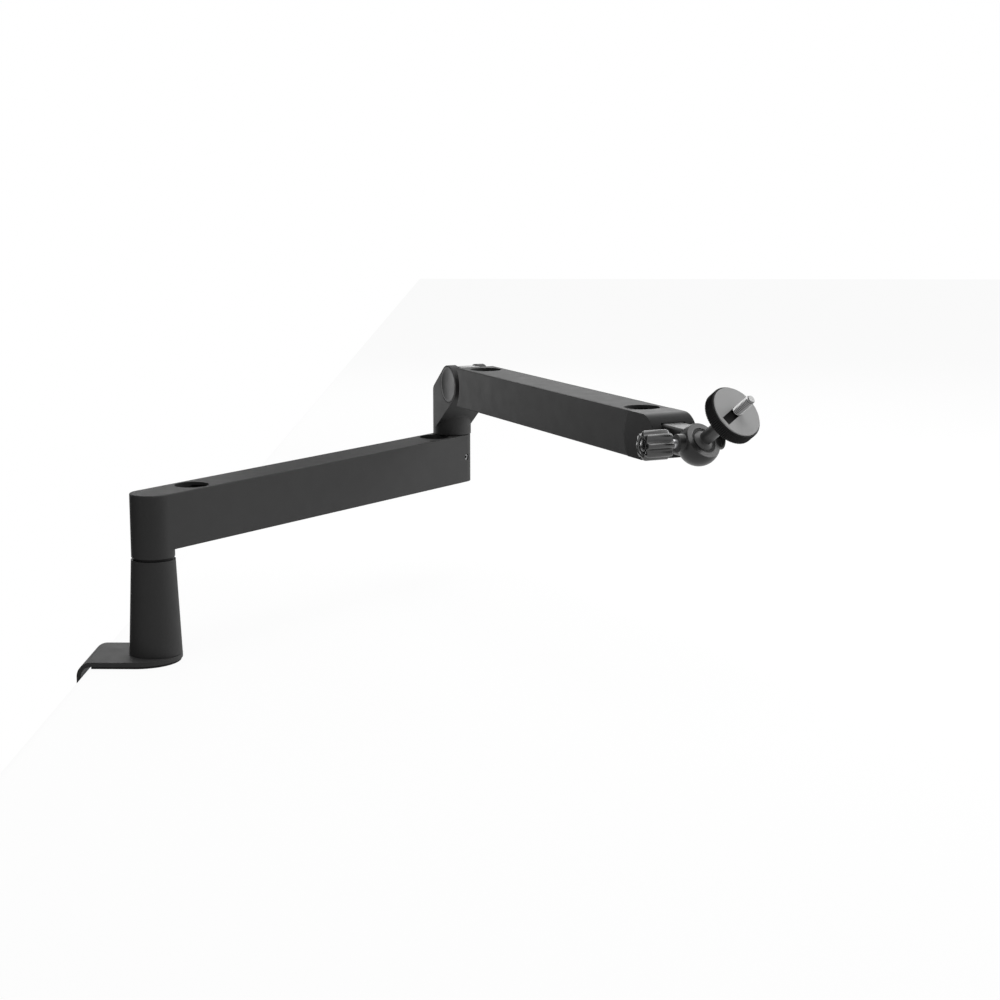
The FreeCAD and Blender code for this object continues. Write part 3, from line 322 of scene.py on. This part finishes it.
def stand_in(parts, name, node, smooth):
    """Makes one piece of the meshes and lets it stand for a node: same body, same finish."""
    mesh = bpy.data.meshes.new(name)
    whole = bmesh.new()
    for bm in parts:
        bm.to_mesh(mesh)
        whole.from_mesh(mesh)
        bm.free()
    whole.to_mesh(mesh)
    whole.free()
    mesh.shade_smooth()
    mesh.set_sharp_from_angle(angle=math.radians(smooth))
    mesh.materials.append(FINISHES[WEARS[node]])
    piece = bpy.data.objects.new(name, mesh)
    bpy.context.scene.collection.objects.link(piece)
    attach(piece, BODY_OF[node])
    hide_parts(node)
    print(f"{name}: {len(mesh.polygons)} faces, rides on {BODY_OF[node]}")


# %% [markdown]
# ## Knurled lock disc
# The disc under the stud is gripped by its rim, which is knurled with fine straight ribs, and its face has
# a slot for a coin. An array of tiny prisms would work, but the ribs are part of the disc. So the disc is
# spun with two columns of vertices for each rib, and every second column of the rim is pulled in by the
# depth of the knurl. The slot is scored into the face with four cuts and then pressed down.

# %% the disc
RIBS = 90
RIB_DEPTH = 0.6 * MM
RIM = 0.6 * MM
STEM_BORE = 4.56 * MM
SLOT_HALF = 3.0 * MM
SLOT_REACH = 14.9 * MM
SLOT_DEPTH = 1.0 * MM

low, high, disc_radius = reach(points_of("lock_disc"), *STEM)
stem_end = reach(points_of("ball_stem"), *STEM)[1] + END_GAP
disc = lathe([
    (0, stem_end), (STEM_BORE, stem_end), (STEM_BORE, low), (disc_radius - RIM * 2, low),
    (disc_radius, low + RIM), (disc_radius, high - RIM), (disc_radius - RIM, high),
    (disc_radius * 0.5, high), (0, high)], steps=RIBS * 2)
for vert in disc.verts:
    column = round(math.atan2(vert.co.y, vert.co.x) / math.tau * RIBS * 2)
    if column % 2 and math.hypot(vert.co.x, vert.co.y) > disc_radius - RIM / 2:
        pull_in(vert, 1 - RIB_DEPTH / disc_radius)
        # The pulled-in ribs get full painted shade.
        set_groove_shade(disc, vert, 1.0)


def top_faces():
    return [f for f in disc.faces if f.calc_center_median().z > high - 1e-6]


across = [(Vector((0, side * SLOT_HALF, 0)), Vector((0, 1, 0))) for side in (-1, 1)]
across += [(Vector((side * SLOT_REACH, 0, 0)), Vector((1, 0, 0))) for side in (-1, 1)]
for place, normal in across:
    top = top_faces()
    scored = top + list({e for f in top for e in f.edges} | {v for f in top for v in f.verts})
    bmesh.ops.bisect_plane(disc, geom=scored, plane_co=place, plane_no=normal)
floor = [f for f in top_faces() if abs(f.calc_center_median().x) < SLOT_REACH
         and abs(f.calc_center_median().y) < SLOT_HALF]
pressed = bmesh.ops.extrude_face_region(disc, geom=floor)["geom"]
bmesh.ops.delete(disc, geom=floor, context="FACES")
slot_floor = [item for item in pressed if isinstance(item, bmesh.types.BMVert)]
bmesh.ops.translate(disc, vec=-UP * SLOT_DEPTH, verts=slot_floor)
bmesh.ops.recalc_face_normals(disc, faces=disc.faces)

spokes = [p - STEM[0] - STEM[1] * (p - STEM[0]).dot(STEM[1]) for p in points_of("disc_face")]
corners = [p for p in spokes if SLOT_REACH * 0.8 < p.length < SLOT_REACH * 1.1]
slot_line = sum((p if p.dot(corners[0]) > 0 else -p for p in corners), Vector()).normalized()
stand_in([set_on(disc, *STEM, slot_line)], "knurled_disc", "lock_disc", smooth=25)

# %% [markdown]
# ## Threads
# The stud and the clamp screw carry real threads. A thread is one V of outline that climbs by a pitch each
# turn, and Spin does just that when it is given a step along its axis. The turns share their edges, so
# merging doubles makes one skin, and two cuts with a plane give flat ends. The thread's roots are darkened
# with painted shade. A cut end is duller than the rolled flanks, so it takes part of a root's roughness
# and part of its painted shade.

# %% stud and clamp screw
TURN_STEPS = 32
# How much painted shade, and extra roughness, a cut end gets.
CUT_END_SHADE = 0.65


def threaded_rod(low, high, radius, pitch, depth, tip):
    """A rod along Z with a V thread and a chamfered tip at its high end."""
    bm = new_mesh()
    root = radius - depth
    ridge = [(root, 0), (root, 0.12), (radius, 0.46), (radius, 0.58), (root, 0.92), (root, 1)]
    chain = outline(bm, [(r, low - pitch + share * pitch) for r, share in ridge])
    turns = math.ceil((high - low) / pitch) + 2
    bmesh.ops.spin(bm, geom=chain, cent=(0, 0, 0), axis=UP, dvec=UP * pitch / TURN_STEPS,
                   angle=math.tau * turns, steps=TURN_STEPS * turns)
    bmesh.ops.remove_doubles(bm, verts=bm.verts, dist=pitch * 0.02)
    for level, side in ((low, -UP), (high, UP)):
        whole = list(bm.verts) + list(bm.edges) + list(bm.faces)
        bmesh.ops.bisect_plane(bm, geom=whole, plane_co=UP * level, plane_no=side, clear_outer=True)
    bmesh.ops.holes_fill(bm, edges=[e for e in bm.edges if e.is_boundary], sides=0)
    for vert in bm.verts:
        allowed = radius - max(0.0, vert.co.z - (high - tip)) * 0.8
        distance = math.hypot(vert.co.x, vert.co.y)
        # Painted shade grows towards the thread's root; the cut end gets a part of it.
        set_groove_shade(bm, vert, (radius - distance) / depth if vert.co.z < high - tip else CUT_END_SHADE)
        if distance > allowed:
            pull_in(vert, allowed / distance)
    bmesh.ops.recalc_face_normals(bm, faces=bm.faces)
    return bm


STUD_PITCH = 25.4 / 20 * MM
STUD_NECK = 2.9 * MM
CLAMP_PITCH = 3.0 * MM
low, high, radius = reach(points_of("stud"), *STEM)
pad_top = reach(points_of("disc_face"), *STEM)[1]
neck = lathe([(0, low), (STUD_NECK, low), (STUD_NECK, pad_top), (0, pad_top)], steps=32)
thread = threaded_rod(pad_top - 0.4 * MM, high, radius, STUD_PITCH, depth=0.62 * MM, tip=1.1 * MM)
stand_in([set_on(neck, *STEM), set_on(thread, *STEM)], "threaded_stud", "stud", smooth=20)
low, high, radius = reach(points_of("clamp_screw"), *CLAMP)
screw = threaded_rod(low, high, radius, CLAMP_PITCH, depth=1.1 * MM, tip=0.8 * MM)
stand_in([set_on(screw, *CLAMP)], "threaded_clamp_screw", "clamp_screw", smooth=20)

# %% [markdown]
# ## Lobed grips
# The lock knob and the clamp's handle are moulded grips with broad lobes. Each starts as a plain turned
# knob with a rounded rim and a sunk ring in its end. Then the barrel is pressed in between the lobes: how
# deep depends only on the angle, so a cosine does it and the lobes stay smooth.

# %% lock knob and clamp handle
def lobed_grip(low, high, radius, lobes, depth, bore, bore_end):
    """A grip along Z with a bore from its low end, and a sunk ring in its high end."""
    profile = [(0.80, low), (0.93, low + radius * 0.05), (1.0, low + radius * 0.16),
               (1.0, (low + high) / 2), (1.0, high - radius * 0.22), (0.97, high - radius * 0.10),
               (0.88, high - radius * 0.03), (0.78, high), (0.60, high), (0.57, high - radius * 0.03),
               (0.55, high - radius * 0.16), (0.40, high - radius * 0.16), (0.38, high - radius * 0.05),
               (0.30, high - radius * 0.02), (0, high)]
    points = [(0, bore_end), (bore, bore_end), (bore, low)] + [(radius * r, z) for r, z in profile]
    bm = lathe(points, steps=lobes * 16)
    for vert in bm.verts:
        hollow = (0.5 - 0.5 * math.cos(math.atan2(vert.co.y, vert.co.x) * lobes)) ** 1.3
        outer = (math.hypot(vert.co.x, vert.co.y) / radius - 0.70) / 0.25
        pressed = hollow * min(1.0, max(0.0, outer))
        pull_in(vert, 1 - depth / radius * pressed)
        # The hollows between the lobes get painted shade as deep as they are pressed.
        set_groove_shade(bm, vert, pressed)
    return bm


GRIPS = (("lobed_lock_knob", "lock_knob", "lock_screw", LOCK, 8, 2.2 * MM),
         ("lobed_clamp_handle", "clamp_handle", "clamp_screw", CLAMP, 6, 3.2 * MM))
for name, node, rod, (origin, axis), lobes, depth in GRIPS:
    outwards = axis if node == "lock_knob" else -axis
    low, high, radius = reach(points_of(node), origin, outwards)
    rod_end, rod_radius = reach(points_of(rod), origin, outwards)[1:]
    grip = lobed_grip(low, high, radius, lobes, depth, rod_radius + FIT, rod_end + END_GAP)
    stand_in([set_on(grip, origin, outwards)], name, node, smooth=40)

# %% [markdown]
# ## Screws with hex sockets
# The small screws show their heads from below and from behind. Each is spun as a turned blank that stops
# at a round mouth. The mouth's vertices are then moved to a hexagon, pushed down and closed, which is how
# a real socket is broached. A node may hold several screws, so its mesh is first split into its solids.

# %% socket screws
def solids_of(name):
    """The separate solids of a node, each as a list of its points."""
    copy = bmesh.new()
    copy.from_mesh(frame["nodes"][name].data)
    bmesh.ops.remove_doubles(copy, verts=copy.verts, dist=1e-6)
    left = set(copy.verts)
    solids = []
    while left:
        found = [left.pop()]
        for vert in found:
            for other in (edge.other_vert(vert) for edge in vert.link_edges):
                if other in left:
                    left.remove(other)
                    found.append(other)
        solids.append([v.co.copy() for v in found])
    copy.free()
    return solids


def middle_line(points, axis):
    """A point on the axis of a round solid."""
    x = axis.orthogonal().normalized()
    y = axis.cross(x)
    spots = [[p.dot(across) for p in points] for across in (x, y)]
    first, second = [(min(values) + max(values)) / 2 for values in spots]
    return x * first + y * second


def socket_screw(points, axis):
    """A screw whose socket opens along the axis, with the sizes of a solid."""
    origin = middle_line(points, axis)
    low, high, head = reach(points, origin, axis)
    tail = [p for p in points if (p - origin).dot(axis) < low + 0.05 * MM]
    shank = reach(tail, origin, axis)[2]
    broad = [p for p in points if (p - origin - axis * (p - origin).dot(axis)).length > head * 0.98]
    head_low = reach(broad, origin, axis)[0] if head > shank * 1.1 else low
    flat = head * 0.48
    edge = head * 0.10
    rise = [(0, low), (shank, low), (shank, head_low), (head, head_low)] if head_low > low else [
        (0, low), (head, low)]
    bm = lathe(rise + [(head, high - edge), (head - edge, high), (flat * 1.2, high)], steps=36)
    mouth = [e for e in bm.edges if e.is_boundary]
    for vert in {v for e in mouth for v in e.verts}:
        turn = math.atan2(vert.co.y, vert.co.x) % (math.pi / 3) - math.pi / 6
        pull_in(vert, flat / math.cos(turn) / math.hypot(vert.co.x, vert.co.y))
    sunk = bmesh.ops.extrude_edge_only(bm, edges=mouth)["geom"]
    socket = [item for item in sunk if isinstance(item, bmesh.types.BMVert)]
    bmesh.ops.translate(bm, vec=-UP * min(head * 0.5, (high - head_low) * 0.7), verts=socket)
    # The socket's floor gets full painted shade.
    for vert in socket:
        set_groove_shade(bm, vert, 1.0)
    bmesh.ops.holes_fill(bm, edges=[e for e in bm.edges if e.is_boundary], sides=0)
    bmesh.ops.recalc_face_normals(bm, faces=bm.faces)
    return set_on(bm, origin, axis)


ALONG = UP.cross(AXES["arm_tilt"][1])
HEADS = {"tongue_screws": -UP, "elbow_screw": -UP, "socket_set_screw": -UP,
         "housing_screws": ALONG, "elbow_set_screw": Vector((0, -1, 0))}
for node, axis in HEADS.items():
    stand_in([socket_screw(points, axis) for points in solids_of(node)], f"hex_{node}", node, smooth=30)

# %% [markdown]
# ## Caps and foot pad
# The hinge's caps are thin pressed discs with a soft rim and a shallow dish, and the rubber under the foot
# has moulded rings that grip the table. Both are turned shapes, so the lathe makes them too.

# %% pressed caps and ringed pad
def pressed_cap(low, high, radius):
    lip = (high - low) * 0.4
    return lathe([(0, low), (radius, low), (radius, high - lip), (radius - lip * 0.3, high - lip * 0.25),
                  (radius - lip, high), (radius * 0.86, high), (radius * 0.82, high - lip * 0.4),
                  (0, high - lip * 0.4)], steps=96)


PAD_EDGE = 0.5 * MM
RING_DEPTH = 0.6 * MM


def ringed_pad(low, high, radius, rings):
    """A pad with round grooves in its high face."""
    points = [(0, low), (radius, low), (radius, high - PAD_EDGE), (radius - PAD_EDGE, high)]
    step = (radius - PAD_EDGE) / (rings + 0.5)
    for ring in range(rings):
        outer = radius - PAD_EDGE - step * (ring + 0.4)
        points += [(outer, high), (outer - step * 0.1, high - RING_DEPTH),
                   (outer - step * 0.3, high - RING_DEPTH), (outer - step * 0.4, high)]
    return lathe(points + [(0, high)], steps=72)


hinge_middle = AXES["arm_tilt"][0]
caps = []
for points in solids_of("hinge_caps"):
    side = sum((p - hinge_middle for p in points), Vector()).dot(AXES["arm_tilt"][1])
    outwards = AXES["arm_tilt"][1] * (1 if side > 0 else -1)
    caps.append(set_on(pressed_cap(*reach(points, hinge_middle, outwards)), hinge_middle, outwards))
stand_in(caps, "pressed_hinge_caps", "hinge_caps", smooth=40)
pad = ringed_pad(*reach(points_of("foot_pad"), *CLAMP), rings=4)
stand_in([set_on(pad, *CLAMP)], "ringed_foot_pad", "foot_pad", smooth=30)

# %% [markdown]
# ## The table top
# The arm needs something to hold on to. A plain floor far below would leave it in the air, so it is clamped
# to a pale table top that fills its jaw. From the front the table hides the lower half of the clamp, and
# from behind it shows how the clamp grips. The table is white only for rays that look at it, and it still
# takes the arm's shadow.

# %% table
TABLE_DEPTH = 5.0
TABLE_WIDTH = 8.0
TABLE_ROUND = 10.0 * MM
PLATE = 3.0 * MM
TABLE_GLOW = 0.93
plate_back = CLAMP[0].copy()
plate_back.z = 0
inwards = -plate_back.normalized()
edge = min(p.dot(inwards) for p in points_of("clamp_bracket")) + PLATE
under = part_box("foot_pad")[1].z
block = bmesh.new()
bmesh.ops.create_cube(block, size=1)
bmesh.ops.scale(block, vec=(TABLE_DEPTH, TABLE_WIDTH, -under), verts=block.verts)
bmesh.ops.translate(block, vec=(edge + TABLE_DEPTH / 2, 0, under / 2), verts=block.verts)
bmesh.ops.bevel(block, geom=list(block.edges), offset=TABLE_ROUND, offset_type="OFFSET", segments=8,
                profile=0.5, affect="EDGES", material=-1)
set_on(block, Vector(), UP, inwards)
table_mesh = bpy.data.meshes.new("table_top")
block.to_mesh(table_mesh)
block.free()
table = bpy.data.objects.new("table_top", table_mesh)
bpy.context.scene.collection.objects.link(table)

laminate = bpy.data.materials.new("white_laminate")
paint = Paint(laminate)
lit = paint.add("ShaderNodeBsdfPrincipled", {}, {"Base Color": grey(0.92), "Roughness": 0.7})
glow = paint.add("ShaderNodeEmission", {}, {"Color": grey(1.0), "Strength": 1.0})
looked_at = paint.seen("Camera", "Glossy")
mixed = paint.add("ShaderNodeMixShader", {}, {0: looked_at * TABLE_GLOW, 1: lit, 2: glow})
paint.add("ShaderNodeOutputMaterial", {}, {"Surface": mixed})
table_mesh.materials.append(laminate)
print(f"table {-under / MM:.0f} mm thick, its edge {edge / MM:.1f} mm from the post's axis")

# %% [markdown]
# ## Light and camera
# The background is white for rays that look at it or are mirrored into it, while the light that falls on
# the arm comes from a dim sky and from large soft panels. Black cards on the left and behind, as in a
# photo studio, darken those sides so that the round forms turn.

# %% sky, panels, cards and camera
SKY_LIGHT = 0.25
SKY_WHITE = 1.0
world = bpy.data.worlds.new("studio")
bpy.context.scene.world = world
sky = Paint(world)
strength = sky.add("ShaderNodeMapRange", {}, {"Value": sky.seen("Camera", "Glossy", "Transmission"),
                                              "To Min": SKY_LIGHT, "To Max": SKY_WHITE})
background = sky.add("ShaderNodeBackground", {}, {"Color": grey(1.0), "Strength": strength})
sky.add("ShaderNodeOutputWorld", {}, {"Surface": background})
MIDDLE = Vector((0.2, -0.1, 0.1))


def facing(place):
    return (MIDDLE - Vector(place)).to_track_quat("-Z", "Y").to_matrix().to_4x4()


def panel(name, place, size, watts):
    """A soft square light that faces the arm."""
    light = bpy.data.lights.new(name, "AREA")
    light.size = size
    light.energy = watts
    lamp = bpy.data.objects.new(name, light)
    lamp.matrix_world = Matrix.Translation(place) @ facing(place)
    bpy.context.scene.collection.objects.link(lamp)


panel("top_panel", (0.3, -0.2, 1.7), size=1.4, watts=16)
panel("right_panel", (1.0, -0.8, 0.5), size=0.8, watts=9)
panel("back_panel", (1.4, 0.6, 0.9), size=1.0, watts=6)
panel("elbow_panel", (0.40, 0.40, 0.14), size=0.16, watts=0.30)

cloth = bpy.data.materials.new("black_cloth")
paint = Paint(cloth)
paint.add("ShaderNodeOutputMaterial", {}, {
    "Surface": paint.add("ShaderNodeBsdfDiffuse", {}, {"Color": grey(0.01)})})


def black_card(name, first, last, height):
    """A black cloth between two points that only reflections show."""
    bm = bmesh.new()
    hem = bm.edges.new([bm.verts.new(point) for point in (first, last)])
    raised = bmesh.ops.extrude_edge_only(bm, edges=[hem])["geom"]
    bmesh.ops.translate(bm, vec=UP * height,
                        verts=[item for item in raised if isinstance(item, bmesh.types.BMVert)])
    mesh = bpy.data.meshes.new(name)
    bm.to_mesh(mesh)
    bm.free()
    mesh.materials.append(cloth)
    card = bpy.data.objects.new(name, mesh)
    card.visible_camera = False
    card.visible_diffuse = False
    bpy.context.scene.collection.objects.link(card)


black_card("left_card", (-1.0, 0.75, -0.9), (0.17, 0.75, -0.9), height=2.1)
black_card("back_card", (0.735, 0.297, 0.18), (0.560, 0.537, 0.18), height=0.6)

camera = bpy.data.objects.new("camera", bpy.data.cameras.new("camera"))
camera.data.lens = 72
camera.data.sensor_width = 36
camera.location = (-0.96791, -0.96763, 0.35193)
camera.rotation_euler = [math.radians(angle) for angle in (79.916, 0, -55.045)]
bpy.context.scene.collection.objects.link(camera)
bpy.context.scene.camera = camera
bpy.context.scene.view_settings.view_transform = "Standard"
print("sky, four panels, two cards and the camera are set")
